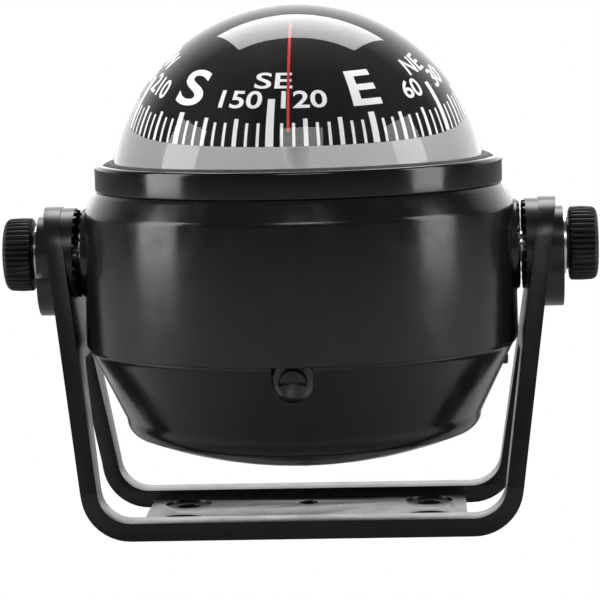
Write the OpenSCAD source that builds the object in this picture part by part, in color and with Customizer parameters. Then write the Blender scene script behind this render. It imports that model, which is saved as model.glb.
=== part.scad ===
// Bracket-mounted binnacle compass with a liquid-filled dome.
// Millimetres. Origin: centre of the bracket's underside. -Y is the front.

/* [Bracket] */
// Height of the tilt axis above the underside
pivot_h = 51; // [50:0.5:56]
// Depth of the bracket's base, front to back
base_d = 38; // [34:1:44]
// Thickness of the bracket's arms
band_t = 3.1; // [2.8:0.1:3.4]
// Height of the base's front and rear bars
bar_h = 3.3; // [3:0.1:3.4]
// Thickness of the panel between the bars
panel_t = 1.7; // [1.4:0.1:2.4]
// Depth of each bar and arm strip
strip_d = 6; // [5:0.5:7]
// Lean of each arm from upright, in degrees
arm_lean = 8; // [7:0.5:8]
// Half the clear width between the arms at the tilt axis
arm_in = 43; // [43:0.1:43.6]
// Outside radius of the corners
corner_r = 9; // [8:0.5:10]
// Half the length of the base panel
panel_half = 30; // [28:0.5:31]
// Height where the arm windows end
window_top = 32; // [28:1:34]
// Spacing of the corner screw holes along X
hole_dx = 46; // [42:1:50]
// Spacing of the corner screw holes along Y
hole_dy = 15; // [13:1:16]
// Diameter of the corner screw holes
hole_d = 4.2; // [3.5:0.1:4.5]
// Spacing of the two centre holes along Y
centre_dy = 14; // [12:1:16]
// Diameter of the two centre holes
centre_hole_d = 3.6; // [3:0.1:4]

/* [Housing] */
// Radius of the housing at the seam
seam_r = 40.2; // [39.5:0.1:40.2]
// Height of the seam between the two housing shells
seam_z = 34.2; // [33:0.1:35]
// Radius of the upper shell under its shoulder
shoulder_r = 39.8; // [39:0.1:40]
// Height of the shoulder's lower edge
shoulder_z = 59.3; // [58.8:0.1:60]
// Wall thickness of the shells
wall = 2.2; // [2:0.1:2.4]
// Lowest point of the lower shell
bottom_z = 11.4; // [11:0.1:12.5]
// Radius of the round side pads
pad_r = 8.5; // [8:0.1:9]
// Number of teeth on each serrated face
tooth_count = 24; // [18:1:28]

/* [Capsule] */
// Outside radius of the dome
dome_r = 34.7; // [34:0.1:34.8]
// Height of the dome's centre
dome_z = 61.8; // [61.5:0.1:62]
// Wall thickness of the dome
dome_t = 2; // [1.6:0.1:2.2]
// Height of the bezel ring's foot
ring_z = 62.8; // [62.6:0.1:63]
// Height of the bezel ring's top
ring_top = 67.8; // [67.4:0.1:68]
// Outside radius of the bezel ring
ring_r = 37.66; // [37.4:0.01:37.8]

/* [Card] */
// Radius of the dome-shaped card
card_r = 23.3; // [22.8:0.1:23.6]
// Height of the centre of the card's dome
card_centre_z = 65.9; // [65.4:0.1:66.2]
// Height of the card's lower edge
card_edge_z = 70.5; // [69:0.1:72]
// Height of the pivot's point
tip_z = 77; // [76:0.1:78]

/* [Knobs] */
// Diameter of each clamp knob
knob_d = 13.8; // [12:0.1:15]
// Outer end of each knob from the middle
knob_end = 55; // [54:0.5:56]
// Number of ribs round each knob
knob_ribs = 40; // [30:1:48]
// Diameter of the clamp studs
stud_d = 5; // [5:1:5]

/* [Hidden] */
$fn = 64;
running = 0.05;
boss_out = 48.6;
washer_t = 0.5;
knob_in = boss_out + washer_t;
pad_face = 40.1;
arm_face = 41.7;
tooth_h = 0.6;
tan_lean = tan(arm_lean);
bowl_r = 32.6;
ledge_z = 58.5;
trim_z = 31.2;
boss_at = 27;

// One side of a U outline, whose straight arm passes reach at the tilt axis.
function half_u(reach, r, floor_z) =
    let (foot = reach - (pivot_h - floor_z) * tan_lean)
    let (cx = foot - r * (1 - sin(arm_lean)) / cos(arm_lean))
    concat(
        [for (i = [0 : 10]) let (a = -90 + i * (90 - arm_lean) / 10)
            [cx + r * cos(a), floor_z + r + r * sin(a)]],
        [[reach + 12 * tan_lean, pivot_h + 12]]);

function mirrored(points) = [for (i = [len(points) - 1 : -1 : 0]) [-points[i][0], points[i][1]]];

module u_outline(reach, r, floor_z) {
    half = half_u(reach, r, floor_z);
    polygon(concat(half, mirrored(half)));
}

module along_y(depth) {
    rotate([90, 0, 0]) translate([0, 0, -depth / 2]) linear_extrude(depth) children();
}

// Extrudes a Y-Z outline along +X.
module along_x(x0, x1) {
    translate([x0, 0, 0]) rotate([90, 0, 90]) linear_extrude(x1 - x0) children();
}

module rod_x(r, x0, x1, z = pivot_h) {
    translate([x0, 0, z]) rotate([0, 90, 0]) cylinder(h = x1 - x0, r = r);
}

module rod_y(r, y0, y1, z) {
    translate([0, y1, z]) rotate([90, 0, 0]) cylinder(h = y1 - y0, r = r);
}

module both_sides() {
    children();
    mirror([1, 0, 0]) children();
}

module ring(r_out, r_in, z0, z1) {
    translate([0, 0, z0]) difference() {
        cylinder(h = z1 - z0, r = r_out);
        translate([0, 0, -1]) cylinder(h = z1 - z0 + 2, r = r_in);
    }
}

// Radial teeth on a face at x, standing towards dir.
module teeth(x, dir) {
    inner = 4;
    for (i = [0 : tooth_count - 1])
        translate([x, 0, pivot_h]) rotate([i * 360 / tooth_count, 0, 0])
            translate([0, 0, inner]) linear_extrude(pad_r - 0.3 - inner)
                polygon([[-0.1 * dir, -0.5], [tooth_h * dir, 0], [-0.1 * dir, 0.5]]);
}

// Outline of an arm seen from the side: wide at the base, round at the tilt axis.
module arm_side() {
    head = 8.8;
    b = base_d / 2;
    z1 = 9;
    rise = pivot_h - z1;
    far = sqrt(b * b + rise * rise);
    turn = atan2(rise, b) + asin(head / far);
    len_t = sqrt(far * far - head * head);
    left = atan2(z1 + len_t * sin(turn) - pivot_h, -b + len_t * cos(turn));
    start = 180 - left;
    polygon(concat(
        [[-b, 0], [b, 0], [b, z1]],
        [for (i = [0 : 24]) let (a = start + i * (left - start) / 24)
            [head * cos(a), pivot_h + head * sin(a)]],
        [[-b, z1]]));
}

module arm_window() {
    wide = base_d / 2 - strip_d;
    narrow = 5.6;
    polygon([[-wide, -1], [wide, -1], [wide, 9], [narrow, window_top - 1.5],
        [narrow - 1.5, window_top], [1.5 - narrow, window_top],
        [-narrow, window_top - 1.5], [-wide, 9]]);
}

module bracket() {
    wide = base_d / 2 - strip_d;
    color("#232426") difference() {
        union() {
            intersection() {
                along_y(base_d) difference() {
                    u_outline(arm_in + band_t, corner_r, 0);
                    u_outline(arm_in, corner_r - band_t, bar_h);
                }
                along_x(-60, 60) arm_side();
            }
            both_sides() {
                rod_x(7, 44, boss_out);
                rod_x(6.95, 43.4, boss_out - 0.02, pivot_h - 4.6);
                translate([43.6, -6.9, pivot_h - 4.6]) cube([boss_out - 43.64, 13.8, 4.6]);
                rod_x(pad_r, arm_face, 44.2);
                teeth(arm_face, -1);
            }
        }
        translate([-panel_half, -wide, panel_t]) cube([2 * panel_half, 2 * wide, 4]);
        both_sides() {
            along_x(panel_half, 60) arm_window();
            rod_x(stud_d / 2 + running, 38, 60);
        }
        for (sx = [-1, 1], sy = [-1, 1])
            translate([sx * hole_dx / 2, sy * hole_dy / 2, 0]) {
                translate([0, 0, -1]) cylinder(h = 6, r = hole_d / 2);
                translate([0, 0, panel_t - 0.5]) cylinder(h = 6, r = 4.4);
            }
        for (sy = [-1, 1])
            translate([0, sy * centre_dy / 2, -1]) cylinder(h = 6, r = centre_hole_d / 2);
    }
}

module housing_upper() {
    color("#1b1c1e") difference() {
        union() {
            rotate_extrude($fn = 96) polygon([[seam_r - wall, seam_z], [seam_r, seam_z],
                [shoulder_r, shoulder_z], [ring_r + 0.5, ring_z - 0.6], [ring_r, ring_z],
                [36.4, ring_z], [36.4, ledge_z], [33.2, ledge_z], [33.2, ledge_z - 2],
                [shoulder_r - wall, ledge_z - 3.6]]);
            intersection() {
                both_sides() {
                    rod_x(pad_r, 36.5, pad_face);
                    rod_x(6, 33.6, 38);
                }
                translate([0, 0, seam_z]) cylinder(h = 25, r = 42);
            }
            both_sides() teeth(pad_face, 1);
            for (a = [45 : 90 : 315]) rotate(a) {
                translate([boss_at, 0, seam_z]) cylinder(h = 6.3, r = 3.5);
                translate([boss_at, -1, seam_z]) cube([11, 2, 6.3]);
            }
        }
        both_sides() rod_x(3.6, 30, 45);
        for (a = [45 : 90 : 315]) rotate(a)
            translate([boss_at, 0, seam_z - 1]) cylinder(h = 6, r = 1.5);
    }
}

// Outline of the lower shell, drawn inwards by t.
module lower_outline(t) {
    corner = 3.2;
    cx = 29.9;
    cz = 20.3;
    ball = 84;
    polygon(concat(
        [[0, seam_z + 1], [39.4 - t, seam_z + 1], [39.4 - t, 33.4],
            [cx + (corner + 0.3) - t, cz + 0.6]],
        [for (a = [0 : -15 : -60]) [cx + (corner - t) * cos(a), cz + (corner - t) * sin(a)]],
        [for (i = [5 : -1 : 0]) let (x = i * 5)
            [x, bottom_z + t + ball - sqrt(ball * ball - x * x)]]));
}

module trim_recess() {
    rod_y(3.6, -46, -30, trim_z);
    translate([-3.6, -46, trim_z]) cube([7.2, 16, 4]);
}

module housing_lower() {
    color("#1b1c1e") difference() {
        union() {
            difference() {
                union() {
                    rotate_extrude($fn = 96) intersection() {
                        lower_outline(0);
                        square([60, seam_z]);
                    }
                    translate([0, 0, seam_z - 0.5]) cylinder(h = 0.5, r = 39.8, $fn = 96);
                }
                rotate_extrude($fn = 96) lower_outline(wall);
            }
            intersection() {
                union() {
                    for (a = [45 : 90 : 315]) rotate(a)
                        translate([boss_at, 0, 10]) cylinder(h = seam_z - 10, r = 3.5);
                    translate([0, 0, 10]) cylinder(h = 14.5, r = 7);
                }
                rotate_extrude($fn = 96) intersection() {
                    lower_outline(0.3);
                    square([60, seam_z]);
                }
            }
        }
        translate([0, 0, 5]) cylinder(h = 12, r = 2.2);
        translate([0, 0, 13.6]) cylinder(h = 12, r = 5);
        for (a = [45 : 90 : 315]) rotate(a) translate([boss_at, 0, 0]) {
            cylinder(h = 60, r = 1.6);
            cylinder(h = 24, r = 2.7);
        }
        trim_recess();
        rotate(90) trim_recess();
    }
}

module bezel_ring() {
    color("#141517") rotate_extrude($fn = 96) polygon([[37, ring_z], [ring_r, ring_z],
        [ring_r, ring_top - 0.6], [ring_r - 0.2, ring_top - 0.15], [ring_r - 0.6, ring_top],
        [36.4, ring_top], [36.1, ring_top - 0.2], [36, ring_top - 0.6], [36, 66.4], [37, 65.2]]);
}

module dome_gasket() {
    color("#0e0e0f") difference() {
        rotate_extrude($fn = 96) polygon([[34, 63.3], [36.9, 63.3], [36.9, 65.1], [35.9, 66.3],
            [35.9, 67.6], [35.5, 68.1], [34.9, 68.2], [34, 68.1]]);
        translate([0, 0, dome_z]) sphere(r = dome_r + 0.03, $fn = 96);
    }
}

module dome_lens() {
    inner = dome_r - dome_t;
    color("#dfe6e8", 0.35) difference() {
        union() {
            intersection() {
                translate([0, 0, dome_z]) sphere(r = dome_r, $fn = 128);
                translate([0, 0, 61.3]) cylinder(h = 40, r = 40);
            }
            translate([0, 0, 61.3]) cylinder(h = 2, r = 36.2, $fn = 96);
        }
        translate([0, 0, dome_z]) sphere(r = inner, $fn = 128);
        translate([0, 0, 60]) cylinder(h = dome_z - 60, r = inner, $fn = 96);
    }
}

module lubber_line() {
    inner = dome_r - dome_t;
    color("#d0281f") translate([0, 0, dome_z]) rotate([90, 0, -90]) rotate(22)
        rotate_extrude(angle = 44, $fn = 128) translate([inner - 0.45, -0.22]) square([0.4, 0.44]);
}

module capsule_bowl() {
    r_in = bowl_r - 2;
    color("#f1f2f0") difference() {
        rotate_extrude($fn = 96) polygon([[0, 43], [bowl_r - 6, 43], [bowl_r - 2, 44.8],
            [bowl_r, 49], [bowl_r, ledge_z], [36.2, ledge_z], [36.2, 60.5],
            [bowl_r - 0.7, 60.5], [bowl_r - 0.7, 67.1], [r_in, 67.1],
            [r_in, 49.4], [r_in - 1.6, 46.2], [r_in - 4.6, 45], [0, 45]]);
        translate([-12, 9, 40]) cylinder(h = 10, r = 6);
        translate([13, -9, 40]) cylinder(h = 10, r = 1.5);
    }
}

module capsule_seal() {
    color("#202020") ring(36.2, 33.3, 60.5, 61.3, $fn = 96);
}

module diaphragm() {
    color("#1a1a1a") translate([-12, 9, 0]) {
        translate([0, 0, 42]) cylinder(h = 1, r = 8.2);
        translate([0, 0, 41]) ring(4.6, 3.4, 0, 1);
    }
}

module diaphragm_ring() {
    color("#c9a24a") translate([-12, 9, 0]) ring(8.8, 6, 40.9, 42);
}

module filler_plug() {
    color("#c9a24a") difference() {
        translate([13, -9, 0]) {
            translate([0, 0, 41.4]) cylinder(h = 1.6, r = 2.8);
            translate([0, 0, 42]) cylinder(h = 3, r = 1.45);
        }
        translate([10, -9.4, 41]) cube([6, 0.8, 1]);
    }
}

module pivot_post() {
    color("#e4e8e8") difference() {
        union() {
            translate([0, 0, 45]) cylinder(h = 1.5, r = 5);
            translate([0, 0, 46]) cylinder(h = 5, r1 = 3.6, r2 = 1.6);
            translate([0, 0, 50]) cylinder(h = 21, r = 1.6);
        }
        translate([0, 0, 66]) cylinder(h = 6, r = 0.52);
    }
}

module pivot_needle() {
    color("#b9bcc0") {
        translate([0, 0, 66]) cylinder(h = tip_z - 1.6 - 66, r = 0.5);
        translate([0, 0, tip_z - 1.6]) cylinder(h = 1.6, r1 = 0.5, r2 = 0.06);
    }
}

module jewel() {
    color("#8f1f3c") difference() {
        translate([0, 0, tip_z]) sphere(r = 1.25);
        translate([0, 0, tip_z - 1.35]) cylinder(h = 1.5, r1 = 1.3, r2 = 0.12);
    }
}

module jewel_cup() {
    color("#c9a24a") difference() {
        translate([0, 0, tip_z - 0.5]) cylinder(h = 2.6, r = 2);
        translate([0, 0, tip_z - 1]) cylinder(h = 1, r = 1.35);
        translate([0, 0, tip_z]) sphere(r = 1.35);
    }
}

module card_shell(r) {
    intersection() {
        translate([0, 0, card_centre_z]) sphere(r = r, $fn = 96);
        translate([0, 0, card_edge_z]) cylinder(h = 40, r = 40);
    }
}

module compass_card() {
    color("#0c0c0d") difference() {
        card_shell(card_r);
        translate([0, 0, card_centre_z]) sphere(r = card_r - 0.9, $fn = 96);
    }
}

// Hangs from the crown of the card and holds the jewel cup.
module card_hub() {
    color("#e9e9e6") difference() {
        intersection() {
            translate([0, 0, tip_z - 0.4]) cylinder(h = 12, r = 2.9);
            translate([0, 0, card_centre_z]) sphere(r = card_r - 0.9, $fn = 96);
        }
        translate([0, 0, tip_z - 1]) cylinder(h = 3.2, r = 2 + running);
    }
}

module card_frame() {
    color("#e9e9e6") {
        ring(21.5, 19.7, 70.6, 72.2);
        for (s = [-1, 1]) translate([s * 6.5 - 2.2, -19, 71.4]) cube([4.4, 38, 0.8]);
    }
}

module card_magnets() {
    color("#6d7074") for (s = [-1, 1]) translate([s * 6.5 - 2, -13, 69.6]) cube([4, 26, 1.8]);
}

module thread_inserts() {
    color("#c9a24a") both_sides() difference() {
        rod_x(3.58, 33.8, 39.9);
        rod_x(stud_d / 2 + running, 30, 45);
    }
}

module knob() {
    step = 360 / (2 * knob_ribs);
    color("#1d1d1f") difference() {
        union() {
            translate([knob_in + 0.7, 0, pivot_h]) rotate([0, 90, 0])
                linear_extrude(knob_end - knob_in - 1.2)
                    polygon([for (i = [0 : 2 * knob_ribs - 1])
                        let (r = knob_d / 2 - (i % 2) * 0.35) [r * cos(i * step), r * sin(i * step)]]);
            rod_x(4.75, knob_in, knob_in + 1);
            rod_x(knob_d / 2 - 0.6, knob_end - 1, knob_end);
        }
        rod_x(stud_d / 2, knob_in - 1, knob_in + 3);
    }
}

module knob_right() {
    knob();
}

module knob_left() {
    mirror([1, 0, 0]) knob();
}

module stud() {
    color("#c6c9cc") rod_x(stud_d / 2, 34.4, knob_in + 3);
}

module stud_right() {
    stud();
}

module stud_left() {
    mirror([1, 0, 0]) stud();
}

module washer() {
    color("#d4d6d8") difference() {
        rod_x(5.6, boss_out, knob_in);
        rod_x(stud_d / 2 + running, boss_out - 1, knob_in + 1);
    }
}

module washer_right() {
    washer();
}

module washer_left() {
    mirror([1, 0, 0]) washer();
}

// Bearings of one compensator shaft, on the -Y side.
module shaft_bearings() {
    rod_y(3.6, -33.6, -30, trim_z);
    rod_y(3.6, -12, -8, trim_z);
    for (y = [-32.9, -11.6]) translate([-2, y, 25]) cube([4, 3, trim_z - 25]);
    translate([-2, -32, 24.5]) cube([4, 28, 2]);
}

module compensator_block() {
    color("#d8d8d2") difference() {
        union() {
            shaft_bearings();
            rotate(90) shaft_bearings();
            translate([0, 0, 24.5]) cylinder(h = 2, r = 8);
            translate([0, 0, 24.5]) cylinder(h = 13.5, r = 3.4);
        }
        rod_y(2 + running, -50, -7.5, trim_z);
        rotate(90) rod_y(2 + running, -50, -7.5, trim_z);
    }
}

module compensator_shaft() {
    color("#c9a24a") difference() {
        union() {
            rod_y(2, -36, -8.2, trim_z);
            rod_y(2.5, -38.2, -35.8, trim_z);
        }
        translate([-3, -38.6, trim_z - 0.45]) cube([6, 1.4, 0.9]);
        translate([-1.5, -24.5, trim_z - 3]) cube([3, 5, 6]);
    }
}

module compensator_shaft_front() {
    compensator_shaft();
}

module compensator_shaft_side() {
    rotate(90) compensator_shaft();
}

module compensator_magnet() {
    color("#6d7074") translate([-1.5, -24.5, trim_z - 4]) cube([3, 5, 8]);
}

module compensator_magnet_front() {
    compensator_magnet();
}

module compensator_magnet_side() {
    rotate(90) compensator_magnet();
}

module housing_screws() {
    color("#c6c9cc") for (a = [45 : 90 : 315]) rotate(a) translate([boss_at, 0, 0]) difference() {
        union() {
            translate([0, 0, 22]) cylinder(h = 2, r = 2.5);
            translate([0, 0, 23.5]) cylinder(h = 15.5, r = 1.45);
        }
        translate([-1.8, -0.3, 21]) cube([3.6, 0.6, 1.8]);
        translate([-0.3, -1.8, 21]) cube([0.6, 3.6, 1.8]);
    }
}

module lamp_board() {
    color("#2f6b3c") translate([0, 0, 38]) cylinder(h = 1.2, r = 7);
}

module lamp_led() {
    color("#d94a3a") translate([0, 0, 39.2]) {
        cylinder(h = 1, r = 2);
        intersection() {
            sphere(r = 2.4);
            translate([0, 0, 0.5]) cylinder(h = 4, r = 1.7);
        }
    }
}

module cable_grommet() {
    color("#111112") difference() {
        union() {
            translate([0, 0, bottom_z - 0.9]) cylinder(h = 0.9, r = 2.7);
            translate([0, 0, bottom_z - 0.2]) cylinder(h = 3, r = 2.15);
            translate([0, 0, 13.7]) cylinder(h = 1, r = 3.2);
        }
        translate([0, 0, 5]) cylinder(h = 20, r = 1.1);
    }
}

bracket();
housing_upper();
housing_lower();
bezel_ring();
dome_gasket();
dome_lens();
lubber_line();
capsule_bowl();
capsule_seal();
diaphragm();
diaphragm_ring();
filler_plug();
pivot_post();
pivot_needle();
jewel();
jewel_cup();
compass_card();
card_hub();
card_frame();
card_magnets();
thread_inserts();
knob_left();
knob_right();
stud_left();
stud_right();
washer_left();
washer_right();
compensator_block();
compensator_shaft_front();
compensator_shaft_side();
compensator_magnet_front();
compensator_magnet_side();
housing_screws();
lamp_board();
lamp_led();
cable_grommet();
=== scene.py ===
import math

import bmesh
import bpy
from mathutils import Matrix, Vector


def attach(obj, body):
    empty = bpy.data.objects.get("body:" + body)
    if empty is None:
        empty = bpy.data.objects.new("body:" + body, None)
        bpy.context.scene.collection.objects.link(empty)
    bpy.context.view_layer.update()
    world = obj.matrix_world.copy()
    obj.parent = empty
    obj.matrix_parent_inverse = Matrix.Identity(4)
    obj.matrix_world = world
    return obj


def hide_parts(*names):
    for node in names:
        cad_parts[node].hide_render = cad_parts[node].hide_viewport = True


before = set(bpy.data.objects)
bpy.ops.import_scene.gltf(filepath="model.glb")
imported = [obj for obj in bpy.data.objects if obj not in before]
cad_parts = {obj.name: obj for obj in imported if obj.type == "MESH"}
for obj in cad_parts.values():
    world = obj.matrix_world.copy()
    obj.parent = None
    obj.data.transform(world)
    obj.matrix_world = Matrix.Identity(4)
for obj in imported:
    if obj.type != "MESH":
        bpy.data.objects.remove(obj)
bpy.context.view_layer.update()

MM = 0.001
TAU = 2 * math.pi
PIVOT_Z = 51.0
DOME_Z = 61.8
DOME_R = 34.7
CARD_Z = 65.9
CARD_R = 23.3
CARD_EDGE_Z = 70.5
CARD_T = 0.9
CARD_HEADING = 126.5  # the bearing on the card that faces the front
TRIM_Z = 31.2  # height of the compensator shafts and their notches
BOTTOM_Z = 11.4
TEETH = 24
RIBS = 40
KNOB_START = 49.1  # where a knob's neck meets its washer
AROUND = 192  # segments round a turned piece


# ---------------------------------------------------------------- materials

def new_material(name):
    mat = bpy.data.materials.new(name)
    mat.use_nodes = True
    nodes = mat.node_tree.nodes
    return mat, nodes, mat.node_tree.links, nodes["Principled BSDF"]


def noise(nodes, links, coords, scale, detail=4.0, stretch=(1, 1, 1)):
    mapping = nodes.new("ShaderNodeMapping")
    mapping.inputs["Scale"].default_value = [1000 * s for s in stretch]
    links.new(coords, mapping.inputs["Vector"])
    tex = nodes.new("ShaderNodeTexNoise")
    tex.inputs["Scale"].default_value = scale
    tex.inputs["Detail"].default_value = detail
    links.new(mapping.outputs["Vector"], tex.inputs["Vector"])
    return tex.outputs["Fac"]


def remap(nodes, links, value, low, high, from_low=0.3, from_high=0.7):
    node = nodes.new("ShaderNodeMapRange")
    node.inputs["From Min"].default_value = from_low
    node.inputs["From Max"].default_value = from_high
    node.inputs["To Min"].default_value = low
    node.inputs["To Max"].default_value = high
    links.new(value, node.inputs["Value"])
    return node.outputs["Result"]


def mix_colour(nodes, links, factor, first, second):
    node = nodes.new("ShaderNodeMix")
    node.data_type = "RGBA"
    links.new(factor, node.inputs["Factor"])
    for socket, value in ((node.inputs[6], first), (node.inputs[7], second)):
        if hasattr(value, "links"):
            links.new(value, socket)
        else:
            socket.default_value = (*value, 1)
    return node.outputs[2]


def surface(name, colour, rough, spread=0.05, grain=1.5, bump=0.02, depth=0.05, wear=0.0,
            worn=(0.12, 0.12, 0.12), metallic=0.0, stretch=(1, 1, 1), mottling=0.15, scratch=0.0,
            gloss=0.5):
    """A moulded, cast or turned surface; grain is in cycles per millimetre, depth in millimetres."""
    mat, nodes, links, shader = new_material(name)
    coords = nodes.new("ShaderNodeTexCoord").outputs["Object"]
    shader.inputs["Metallic"].default_value = metallic
    shader.inputs["Specular IOR Level"].default_value = gloss
    broad = noise(nodes, links, coords, 0.11, 3.0)
    fine = noise(nodes, links, coords, grain, 5.0, stretch)
    dark = tuple(c * (1 - mottling) for c in colour)
    light = tuple(min(1, c * (1 + mottling)) for c in colour)
    base = mix_colour(nodes, links, remap(nodes, links, broad, 0, 1), dark, light)
    if wear:
        edge = nodes.new("ShaderNodeNewGeometry").outputs["Pointiness"]
        rub = nodes.new("ShaderNodeMath")
        rub.operation = "MULTIPLY"
        links.new(remap(nodes, links, edge, 0, wear, 0.53, 0.66), rub.inputs[0])
        links.new(remap(nodes, links, noise(nodes, links, coords, 0.7), 0, 1, 0.35, 0.6),
                  rub.inputs[1])
        base = mix_colour(nodes, links, rub.outputs[0], base, worn)
    links.new(base, shader.inputs["Base Color"])
    smudge = nodes.new("ShaderNodeMath")
    smudge.operation = "ADD"
    links.new(remap(nodes, links, noise(nodes, links, coords, 0.23, 6.0), -spread, spread),
              smudge.inputs[0])
    links.new(remap(nodes, links, fine, rough - spread / 2, rough + spread / 2), smudge.inputs[1])
    links.new(smudge.outputs[0], shader.inputs["Roughness"])
    height = fine
    if scratch:
        lines = noise(nodes, links, coords, 0.9, 2.0, (0.12, 0.12, 3.5))
        both = nodes.new("ShaderNodeMath")
        both.operation = "MULTIPLY_ADD"
        links.new(lines, both.inputs[0])
        both.inputs[1].default_value = scratch
        links.new(fine, both.inputs[2])
        height = both.outputs[0]
    relief = nodes.new("ShaderNodeBump")
    relief.inputs["Strength"].default_value = bump
    relief.inputs["Distance"].default_value = depth * MM
    links.new(height, relief.inputs["Height"])
    links.new(relief.outputs["Normal"], shader.inputs["Normal"])
    return mat


def clear_fluid(name, ior):
    """The acrylic dome and the oil that fills it, which bend light nearly alike."""
    mat, nodes, links, shader = new_material(name)
    coords = nodes.new("ShaderNodeTexCoord").outputs["Object"]
    shader.inputs["Base Color"].default_value = (0.985, 0.992, 0.992, 1)
    shader.inputs["Transmission Weight"].default_value = 1.0
    shader.inputs["IOR"].default_value = ior
    haze = noise(nodes, links, coords, 0.5, 6.0)
    links.new(remap(nodes, links, haze, 0.0, 0.012, 0.5, 0.8), shader.inputs["Roughness"])
    return mat


def make_materials():
    return {
        "housing": surface("housing_abs", (0.009, 0.009, 0.0105), 0.2, 0.06, 2.5, 0.05, 0.02,
                           wear=0.25, worn=(0.07, 0.07, 0.075), scratch=0.25),
        "bezel": surface("bezel_abs", (0.007, 0.007, 0.008), 0.13, 0.04, 2.5, 0.03, 0.02,
                         wear=0.25, worn=(0.07, 0.07, 0.075), scratch=0.2),
        "bracket": surface("bracket_nylon", (0.009, 0.009, 0.01), 0.3, 0.04, 4.0, 0.2, 0.03,
                           wear=0.3, worn=(0.05, 0.05, 0.055)),
        "knob": surface("knob_nylon", (0.006, 0.006, 0.0065), 0.4, 0.08, 5.0, 0.2, 0.03,
                        wear=0.35, worn=(0.06, 0.06, 0.065), gloss=0.3),
        "rubber": surface("seal_rubber", (0.008, 0.008, 0.008), 0.6, 0.08, 6.0, 0.3, 0.03),
        "white": surface("white_abs", (0.8, 0.8, 0.79), 0.35, 0.06, 2.0, 0.08, 0.03, mottling=0.03),
        "card": surface("card_black", (0.003, 0.003, 0.0035), 0.55, 0.05, 5.0, 0.03, 0.01,
                        gloss=0.12),
        "marks": surface("card_paint", (0.88, 0.88, 0.87), 0.5, 0.06, 6.0, 0.2, 0.02,
                         mottling=0.04),
        "red": surface("lubber_paint", (0.55, 0.02, 0.02), 0.45, 0.08, 5.0, 0.4, 0.05,
                       mottling=0.3),
        "brass": surface("turned_brass", (0.72, 0.52, 0.24), 0.3, 0.1, 3.0, 0.15, 0.02,
                         metallic=1.0, stretch=(1, 1, 6)),
        "steel": surface("washer_steel", (0.6, 0.6, 0.62), 0.25, 0.1, 3.0, 0.15, 0.02,
                         metallic=1.0, stretch=(8, 1, 1)),
        "magnet": surface("magnet_grey", (0.2, 0.2, 0.21), 0.5, 0.1, 3.0, 0.3, 0.03,
                          metallic=0.8),
        "jewel": surface("jewel_ruby", (0.3, 0.02, 0.06), 0.1, 0.03, 3.0, 0.02, 0.01),
        "board": surface("lamp_board_green", (0.02, 0.13, 0.05), 0.35, 0.08, 3.0, 0.2, 0.03),
        "lamp": surface("lamp_red", (0.55, 0.05, 0.04), 0.15, 0.04, 3.0, 0.02, 0.01),
        "screw_head": surface("trim_screw", (0.02, 0.02, 0.021), 0.4, 0.1, 3.0, 0.2, 0.02),
        "dome": clear_fluid("dome_and_oil", 1.42),
    }


# ---------------------------------------------------------------- mesh helpers

def finish_mesh(name, bm, mat, body, node=None, sharp=32.0):
    bmesh.ops.remove_doubles(bm, verts=bm.verts, dist=1e-6)
    bmesh.ops.recalc_face_normals(bm, faces=bm.faces)
    mesh = bpy.data.meshes.new(name)
    bm.to_mesh(mesh)
    bm.free()
    for polygon in mesh.polygons:
        polygon.use_smooth = True
    mesh.set_sharp_from_angle(angle=math.radians(sharp))
    obj = bpy.data.objects.new(name, mesh)
    bpy.context.scene.collection.objects.link(obj)
    obj.data.materials.append(mat)
    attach(obj, body)
    if node:
        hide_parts(*([node] if isinstance(node, str) else node))
    return obj


def rounded(points, radii, steps=5):
    """A closed outline whose corner i is rounded to radii[i], in millimetres."""
    made = []
    count = len(points)
    for i, here in enumerate(points):
        r = radii[i] if i < len(radii) else 0
        here = Vector(here)
        before = Vector(points[i - 1]) - here
        after = Vector(points[(i + 1) % count]) - here
        if r <= 0 or before.length < 1e-9 or after.length < 1e-9:
            made.append(tuple(here))
            continue
        angle = before.angle(after)
        reach = min(r / math.tan(angle / 2), before.length * 0.48, after.length * 0.48)
        start = here + before.normalized() * reach
        end = here + after.normalized() * reach
        for k in range(steps + 1):
            t = k / steps
            made.append(tuple(start * (1 - t) ** 2 + here * 2 * t * (1 - t) + end * t * t))
    return made


def arc(r, start, end, steps, centre=(0, 0)):
    return [(centre[0] + r * math.cos(math.radians(start + (end - start) * i / steps)),
             centre[1] + r * math.sin(math.radians(start + (end - start) * i / steps)))
            for i in range(steps + 1)]


def turned(bm, outline, around=AROUND, closed=True, place=None, gap=None):
    """Spins an outline of (radius, height) about Z; gap(angle, r, z) may move a point's radius."""
    rings = []
    for k in range(around):
        a = TAU * k / around
        ring = []
        for r, z in outline:
            rr = gap(a, r, z) if gap else r
            p = Vector((rr * math.cos(a), rr * math.sin(a), z))
            ring.append(bm.verts.new((place @ p if place else p) * MM))
        rings.append(ring)
    count = len(outline)
    for k in range(around):
        one, two = rings[k], rings[(k + 1) % around]
        for i in range(count if closed else count - 1):
            j = (i + 1) % count
            quad = [one[i], two[i], two[j], one[j]]
            if outline[i][0] < 1e-6 and outline[j][0] < 1e-6:
                continue
            if outline[i][0] < 1e-6:
                quad = [one[i], two[j], one[j]]
            elif outline[j][0] < 1e-6:
                quad = [one[i], two[i], one[j]]
            bm.faces.new(quad)


def along_x(side, x):
    """Stands a turned piece along X on one side, its local Z running outwards from x."""
    turn = Matrix.Rotation(math.radians(90 * side), 4, "Y")
    return Matrix.Translation((side * x, 0, PIVOT_Z)) @ turn


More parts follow.
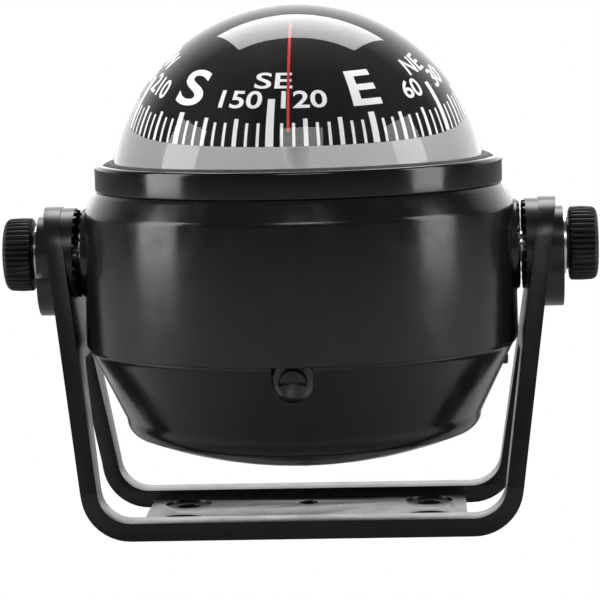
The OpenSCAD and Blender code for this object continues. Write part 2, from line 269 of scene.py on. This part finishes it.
def softened(node, name, width, mat, body, angle=25):
    """A copy of a CAD node whose edges are rounded over width millimetres."""
    bm = bmesh.new()
    bm.from_mesh(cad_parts[node].data)
    bmesh.ops.remove_doubles(bm, verts=bm.verts, dist=2e-6)
    bmesh.ops.dissolve_limit(bm, angle_limit=math.radians(0.8), verts=bm.verts, edges=bm.edges)
    mesh = bpy.data.meshes.new(name)
    bm.to_mesh(mesh)
    bm.free()
    obj = bpy.data.objects.new(name, mesh)
    bpy.context.scene.collection.objects.link(obj)
    bevel = obj.modifiers.new("round", "BEVEL")
    bevel.width = width * MM
    bevel.segments = 3
    bevel.limit_method = "ANGLE"
    bevel.angle_limit = math.radians(angle)
    bevel.use_clamp_overlap = True
    depsgraph = bpy.context.evaluated_depsgraph_get()
    done = bpy.data.meshes.new_from_object(obj.evaluated_get(depsgraph))
    bpy.data.objects.remove(obj)
    bm = bmesh.new()
    bm.from_mesh(done)
    return finish_mesh(name, bm, mat, body, node, sharp=28)


# ---------------------------------------------------------------- housing

def shell_upper(mat):
    outline = rounded(
        [(37.9, 34.2), (40.2, 34.2), (39.85, 58.9), (38.05, 62.2), (37.66, 62.8), (36.4, 62.8),
         (36.4, 58.5), (33.2, 58.5), (33.2, 56.5), (37.6, 54.9)],
        [0.1, 0.35, 2.2, 0.6, 0.1, 0.1, 0.1, 0.1, 0.1, 0.5], 6)
    bm = bmesh.new()
    turned(bm, outline)
    finish_mesh("upper_shell", bm, mat, "housing", "housing_upper")


def side_pad(side, mat):
    """A round pad on the housing's side with radial teeth and a rim."""
    bm = bmesh.new()
    steps = TEETH * 8

    def face_height(a, r):
        saw = abs(((a * TEETH / TAU) % 1.0) - 0.5) * 2
        inside = min(1.0, max(0.0, (r - 3.9) / 0.3)) * min(1.0, max(0.0, (8.25 - r) / 0.2))
        return 0.55 * min(1.0, saw * 1.6) * inside

    radii = [2.6, 3.7, 4.0, 4.4, 5.2, 6.2, 7.2, 7.9, 8.15, 8.25, 8.45, 8.5]
    rings = []
    place = along_x(side, 0)
    for k in range(steps):
        a = TAU * k / steps
        ring = [place @ Vector((2.6 * math.cos(a), 2.6 * math.sin(a), 36.5))]
        for r in radii:
            z = 40.1 + face_height(a, r) - (0.12 if r > 8.48 else 0)
            ring.append(place @ Vector((r * math.cos(a), r * math.sin(a), z)))
        ring.append(place @ Vector((8.5 * math.cos(a), 8.5 * math.sin(a), 36.5)))
        rings.append([bm.verts.new(p * MM) for p in ring])
    for k in range(steps):
        one, two = rings[k], rings[(k + 1) % steps]
        for i in range(len(one)):
            j = (i + 1) % len(one)
            bm.faces.new([one[i], one[j], two[j], two[i]])
    name = "side_pad_right" if side > 0 else "side_pad_left"
    finish_mesh(name, bm, mat, "housing", "housing_upper", 24)


def shell_lower(mat):
    """The lower shell, with its step under the seam and two trim notches."""
    ball = 84.0  # radius of the curved underside
    outer = [(38.6, 34.2), (39.75, 34.2), (39.75, 33.75), (39.4, 33.4), (39.1, 32.9), (33.4, 21.1)]
    curve = [(x, BOTTOM_Z + ball - math.sqrt(ball * ball - x * x)) for x in range(30, 0, -3)]
    outer += arc(3.2, 0, -58, 7, (29.9, 20.3)) + curve + [(2.2, BOTTOM_Z)]
    inner = [(2.2, BOTTOM_Z + 2.2), (12, BOTTOM_Z + 3.1), (24, BOTTOM_Z + 5.7),
             (30.0, 19.0), (31.2, 20.9), (36.9, 33.2), (37.2, 34.2)]
    bm = bmesh.new()
    turned(bm, outer + inner, 256)
    cutters = []
    for turn in (0, 90):
        cut = bmesh.new()
        ring = arc(3.6, 180, 360, 24, (0, TRIM_Z)) + [(3.6, 36.5), (-3.6, 36.5)]
        place = Matrix.Rotation(math.radians(turn), 4, "Z")
        near = [cut.verts.new((place @ Vector((x, -46, z))) * MM) for x, z in ring]
        far = [cut.verts.new((place @ Vector((x, -30, z))) * MM) for x, z in ring]
        cut.faces.new(near)
        cut.faces.new(far[::-1])
        for i in range(len(ring)):
            j = (i + 1) % len(ring)
            cut.faces.new([near[j], near[i], far[i], far[j]])
        bmesh.ops.recalc_face_normals(cut, faces=cut.faces)
        mesh = bpy.data.meshes.new("cut")
        cut.to_mesh(mesh)
        cut.free()
        tool = bpy.data.objects.new("cut", mesh)
        bpy.context.scene.collection.objects.link(tool)
        cutters.append(tool)
    bmesh.ops.remove_doubles(bm, verts=bm.verts, dist=1e-6)
    bmesh.ops.recalc_face_normals(bm, faces=bm.faces)
    mesh = bpy.data.meshes.new("lower")
    bm.to_mesh(mesh)
    bm.free()
    shell = bpy.data.objects.new("lower", mesh)
    bpy.context.scene.collection.objects.link(shell)
    for tool in cutters:
        cut = shell.modifiers.new("cut", "BOOLEAN")
        cut.operation = "DIFFERENCE"
        cut.solver = "EXACT"
        cut.object = tool
    depsgraph = bpy.context.evaluated_depsgraph_get()
    done = bpy.data.meshes.new_from_object(shell.evaluated_get(depsgraph))
    for obj in cutters + [shell]:
        bpy.data.objects.remove(obj)
    bm = bmesh.new()
    bm.from_mesh(done)
    finish_mesh("lower_shell", bm, mat, "housing", "housing_lower", 30)


def bezel(mat):
    outline = rounded(
        [(37, 62.8), (37.4, 62.8), (37.66, 63.15), (37.66, 67.8), (36.05, 67.8), (36.0, 66.4),
         (37, 65.2)],
        [0.05, 0.1, 0.25, 1.5, 0.4, 0.1, 0.1], 8)
    bm = bmesh.new()
    turned(bm, outline)
    finish_mesh("bezel", bm, mat, "housing", "bezel_ring")


def gasket(mat):
    inside = [(math.sqrt((DOME_R + 0.05) ** 2 - (z - DOME_Z) ** 2), z)
              for z in (67.8, 66.6, 65.4, 64.3, 63.3)]
    outside = rounded([(36.9, 63.3), (36.9, 65.1), (35.85, 66.3), (35.85, 67.7), (35.2, 68.15),
                       (34.3, 68.1)], [0, 0.1, 0.2, 0.4, 0.3, 0.15], 5)
    bm = bmesh.new()
    turned(bm, inside + outside)
    finish_mesh("dome_seal_lip", bm, mat, "housing", "dome_gasket")


def dome(mat):
    """The dome and the oil behind it, closed just inside the faces of the bowl."""
    outline = arc(DOME_R, 90, 0, 60, (0, DOME_Z))
    outline[0] = (0, DOME_Z + DOME_R)
    outline += [(34.7, 60.4), (30.68, 60.4), (30.68, 49.3), (29.0, 46.1), (26.0, 44.92),
                (0, 44.92)]
    bm = bmesh.new()
    turned(bm, outline, 192, closed=False)
    obj = finish_mesh("dome_filled", bm, mat, "housing", "dome_lens", 40)
    obj.visible_shadow = False


def bowl(mat):
    outline = rounded(
        [(0, 43), (26.6, 43), (30.6, 44.8), (32.6, 49), (32.6, 58.5), (36.2, 58.5), (36.2, 60.5),
         (31.9, 60.5), (31.9, 67.1), (30.6, 67.1), (30.6, 49.4), (29, 46.2), (26, 45), (0, 45)],
        [0, 1, 1.5, 1.5, 0.3, 0.2, 0.2, 0.3, 0.4, 0.4, 1.5, 1.5, 1, 0], 5)
    bm = bmesh.new()
    turned(bm, outline, 160, closed=False)
    finish_mesh("bowl", bm, mat, "housing", "capsule_bowl")


def trim_screw(node, body, turn, mat):
    """A slotted compensator shaft; its head has a chamfer and a pressed slot."""
    bm = bmesh.new()
    place = Matrix.Rotation(math.radians(turn), 4, "Z") @ Matrix.Translation((0, 0, TRIM_Z))
    place = place @ Matrix.Rotation(math.radians(90), 4, "X")
    outline = [(0, 8.2), (1.9, 8.2), (2, 8.4), (2, 35.8), (2.3, 35.8), (2.5, 36), (2.5, 37.9),
               (2.25, 38.2), (0, 38.2)]
    turned(bm, outline, 64, closed=False, place=place)
    half_slot = 0.42
    for v in bm.verts:
        p = place.inverted() @ (v.co / MM)
        if p.z > 38.1 and abs(p.y) < half_slot:
            v.co = (place @ Vector((p.x, p.y, 37.2))) * MM
    finish_mesh(node + "_turned", bm, mat, body, node, 30)


# ---------------------------------------------------------------- card

def wrap_on_card(bm, bearing, lift):
    """Lays a flat mesh, in millimetres from the card's edge, on the card at a bearing."""
    edge = math.asin((CARD_EDGE_Z - CARD_Z) / CARD_R)
    middle = math.radians(-90 + CARD_HEADING - bearing)
    tall = [v.co.y for v in bm.verts]
    centre = edge + (min(tall) + max(tall)) / 2 / CARD_R
    for v in bm.verts:
        lat = edge + v.co.y / CARD_R
        lon = middle + v.co.x / (CARD_R * math.cos(min(centre, 1.3)))
        r = CARD_R + lift + v.co.z
        v.co = Vector((r * math.cos(lat) * math.cos(lon), r * math.cos(lat) * math.sin(lon),
                       CARD_Z + r * math.sin(lat))) * MM


def add_tick(bm, bearing, width, low, high):
    part = bmesh.new()
    steps = 8
    rows = []
    for i in range(steps + 1):
        y = low + (high - low) * i / steps
        rows.append([part.verts.new((x, y, z)) for x, z in
                     ((-width / 2, 0), (width / 2, 0), (width / 2, 0.06), (-width / 2, 0.06))])
    for i in range(steps):
        for j in range(4):
            k = (j + 1) % 4
            part.faces.new([rows[i][j], rows[i][k], rows[i + 1][k], rows[i + 1][j]])
    part.faces.new(rows[0])
    part.faces.new(rows[-1][::-1])
    wrap_on_card(part, bearing, -0.01)
    join(bm, part)


def join(bm, part):
    mesh = bpy.data.meshes.new("part")
    part.to_mesh(mesh)
    part.free()
    bm.from_mesh(mesh)
    bpy.data.meshes.remove(mesh)


def add_text(bm, words, bearing, base, height, width, weight):
    curve = bpy.data.curves.new("mark", "FONT")
    curve.body = words
    curve.size = 1.0
    curve.offset = weight
    curve.resolution_u = 6
    curve.extrude = 0.03
    obj = bpy.data.objects.new("mark", curve)
    bpy.context.scene.collection.objects.link(obj)
    depsgraph = bpy.context.evaluated_depsgraph_get()
    mesh = bpy.data.meshes.new_from_object(obj.evaluated_get(depsgraph))
    bpy.data.objects.remove(obj)
    part = bmesh.new()
    part.from_mesh(mesh)
    bpy.data.meshes.remove(mesh)
    xs = [v.co.x for v in part.verts]
    ys = [v.co.y for v in part.verts]
    sx = width / (max(xs) - min(xs))
    sy = height / (max(ys) - min(ys))
    for v in part.verts:
        v.co.x = (v.co.x - (min(xs) + max(xs)) / 2) * sx
        v.co.y = base + (v.co.y - min(ys)) * sy
    bmesh.ops.triangulate(part, faces=part.faces)
    for _ in range(3):
        long = [e for e in part.edges if e.calc_length() > 0.9]
        bmesh.ops.subdivide_edges(part, edges=long, cuts=1)
        bmesh.ops.triangulate(part, faces=part.faces)
    wrap_on_card(part, bearing, 0.02)
    join(bm, part)


def card(black, white):
    edge = math.degrees(math.asin((CARD_EDGE_Z - CARD_Z) / CARD_R))
    outer = arc(CARD_R, edge, 90, 40, (0, CARD_Z))
    inner = arc(CARD_R - CARD_T, 90, edge + 0.6, 30, (0, CARD_Z))
    outer[-1] = (0, CARD_Z + CARD_R)
    inner[0] = (0, CARD_Z + CARD_R - CARD_T)
    outline = [(outer[0][0] - 0.15, outer[0][1] - 0.02)] + outer
    bm = bmesh.new()
    turned(bm, outline + inner, 160, closed=False)
    finish_mesh("card_dome", bm, black, "card", "compass_card", 50)

    bm = bmesh.new()
    small, medium, long = 3.9, 4.6, 8.1
    for bearing in range(0, 360, 5):
        if bearing % 90 == 45:
            add_tick(bm, bearing, 1.25, 0.05, long)
        elif bearing % 90 == 0:
            add_tick(bm, bearing, 1.15, 0.05, medium + 0.5)
        elif bearing % 15 == 0:
            add_tick(bm, bearing, 0.75, 0.05, medium)
        else:
            add_tick(bm, bearing, 0.5, 0.05, small)
    for bearing in range(0, 360, 30):
        if bearing % 90:
            words = str(bearing)
            add_text(bm, words, bearing, 6.4, 3.15, 2.45 * len(words), 0.016)
    for bearing, words in ((0, "N"), (90, "E"), (180, "S"), (270, "W")):
        wide = {"N": 6.0, "E": 5.0, "S": 5.8, "W": 7.5}[words]
        add_text(bm, words, bearing, 6.3, 6.5, wide, 0.018)
    for bearing, words in ((45, "NE"), (135, "SE"), (225, "SW"), (315, "NW")):
        add_text(bm, words, bearing, 10.0, 3.1, 6.0, 0.012)
    finish_mesh("card_markings", bm, white, "card", None, 35)


# ---------------------------------------------------------------- knobs

def knob(side, mat):
    """A ribbed clamp knob with a neck, a rounded rim and a dished end."""
    stations = [(0, 2.5), (0, 4.6), (0.12, 4.75), (0.55, 4.75), (0.62, 6.2), (0.75, 6.55),
                (1.0, 6.8), (2.9, 6.85), (4.7, 6.75), (5.2, 6.6), (5.55, 6.3), (5.75, 5.95),
                (5.85, 5.5), (5.82, 5.1), (5.55, 4.8), (5.5, 2.4), (5.5, 0)]

    def ribbed(a, r, z):
        if r < 6.1 or z < 0.6:
            return r
        depth = 0.42 if 0.9 < z < 5.0 else 0.22
        wave = 0.5 + 0.5 * math.cos(a * RIBS)
        return r - depth * (1 - wave ** 0.6)

    bm = bmesh.new()
    turned(bm, [(r, z) for z, r in stations], RIBS * 10, closed=False,
           place=along_x(side, KNOB_START), gap=ribbed)
    node = "knob_right" if side > 0 else "knob_left"
    body = "right_knob" if side > 0 else "left_knob"
    finish_mesh(node + "_ribbed", bm, mat, body, node, 30)


# ---------------------------------------------------------------- the rest

def paint_cad(mats):
    plan = {
        "capsule_seal": "rubber", "diaphragm": "rubber", "diaphragm_ring": "brass",
        "filler_plug": "brass", "pivot_post": "white", "pivot_needle": "steel",
        "jewel": "jewel", "jewel_cup": "brass", "card_hub": "white", "card_frame": "white",
        "card_magnets": "magnet", "thread_inserts": "brass", "stud_left": "steel",
        "stud_right": "steel", "washer_left": "steel", "washer_right": "steel",
        "compensator_block": "white", "compensator_magnet_front": "magnet",
        "compensator_magnet_side": "magnet", "housing_screws": "steel", "lamp_board": "board",
        "lamp_led": "lamp", "cable_grommet": "rubber", "lubber_line": "red",
    }
    for node, key in plan.items():
        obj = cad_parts[node]
        obj.data.materials.clear()
        obj.data.materials.append(mats[key])


def area_light(name, place, target, size, power):
    light = bpy.data.lights.new(name, "AREA")
    light.shape = "RECTANGLE"
    light.size, light.size_y = size
    light.energy = power
    obj = bpy.data.objects.new(name, light)
    obj.location = place
    obj.rotation_euler = (Vector(target) - Vector(place)).to_track_quat("-Z", "Y").to_euler()
    bpy.context.scene.collection.objects.link(obj)


def studio():
    bm = bmesh.new()
    bmesh.ops.create_grid(bm, x_segments=1, y_segments=1, size=2.5)
    mesh = bpy.data.meshes.new("floor")
    bm.to_mesh(mesh)
    bm.free()
    floor = bpy.data.objects.new("floor", mesh)
    bpy.context.scene.collection.objects.link(floor)
    mat, nodes, links, shader = new_material("floor_white")
    shader.inputs["Base Color"].default_value = (0.5, 0.5, 0.5, 1)
    shader.inputs["Roughness"].default_value = 0.8
    path = nodes.new("ShaderNodeLightPath")
    glow = nodes.new("ShaderNodeEmission")
    glow.inputs["Strength"].default_value = 1.0
    either = nodes.new("ShaderNodeMixShader")
    links.new(path.outputs["Is Camera Ray"], either.inputs[0])
    links.new(shader.outputs[0], either.inputs[1])
    links.new(glow.outputs[0], either.inputs[2])
    links.new(either.outputs[0], nodes["Material Output"].inputs["Surface"])
    mesh.materials.append(mat)

    world = bpy.data.worlds.new("studio")
    bpy.context.scene.world = world
    world.use_nodes = True
    nodes, links = world.node_tree.nodes, world.node_tree.links
    back = nodes["Background"]
    where = nodes.new("ShaderNodeTexCoord").outputs["Generated"]
    split = nodes.new("ShaderNodeSeparateXYZ")
    links.new(where, split.inputs[0])
    behind = remap(nodes, links, split.outputs["Y"], 0.07, 2.0, 0.4, 1.0)
    path = nodes.new("ShaderNodeLightPath")
    seen = nodes.new("ShaderNodeMix")
    links.new(path.outputs["Is Camera Ray"], seen.inputs["Factor"])
    links.new(behind, seen.inputs[2])
    seen.inputs[3].default_value = 1.0
    links.new(seen.outputs[0], back.inputs["Strength"])
    back.inputs["Color"].default_value = (1, 1, 1, 1)

    middle = (0, 0, 0.05)
    area_light("top_box", (0.0, 0.26, 0.49), (0, 0, 0.09), (0.42, 0.26), 2.3)
    area_light("left_box", (-0.64, -0.16, 0.22), middle, (0.3, 0.5), 2.6)
    area_light("right_box", (0.64, -0.14, 0.22), middle, (0.26, 0.5), 1.9)
    area_light("front_fill", (0.1, -0.95, 0.75), middle, (0.5, 0.25), 2.0)


def camera():
    distance = 0.4805
    aim = Vector((-0.0003, 0, 0.0414))
    rise = 0.0963 - aim.z
    yaw = math.radians(3.0)
    flat = math.sqrt(distance ** 2 - rise ** 2)
    place = aim + Vector((flat * math.sin(yaw), -flat * math.cos(yaw), rise))
    cam = bpy.data.cameras.new("camera")
    cam.sensor_width = 36
    cam.lens = 154.6
    obj = bpy.data.objects.new("camera", cam)
    turn = (aim - place).to_track_quat("-Z", "Y").to_matrix()
    roll = Matrix.Rotation(math.radians(-1.5), 3, "Z")
    obj.matrix_world = Matrix.Translation(place) @ (turn @ roll).to_4x4()
    bpy.context.scene.collection.objects.link(obj)
    bpy.context.scene.camera = obj


def build():
    mats = make_materials()
    camera()
    studio()
    paint_cad(mats)
    softened("bracket", "bracket_moulded", 0.3, mats["bracket"], "bracket")
    shell_upper(mats["housing"])
    shell_lower(mats["housing"])
    bezel(mats["bezel"])
    gasket(mats["rubber"])
    dome(mats["dome"])
    bowl(mats["white"])
    card(mats["card"], mats["marks"])
    trim_screw("compensator_shaft_front", "front_compensator", 0, mats["screw_head"])
    trim_screw("compensator_shaft_side", "side_compensator", 90, mats["screw_head"])
    for side in (-1, 1):
        side_pad(side, mats["housing"])
        knob(side, mats["knob"])
    bpy.context.scene.view_settings.view_transform = "Standard"


build()
bpy.context.view_layer.update()
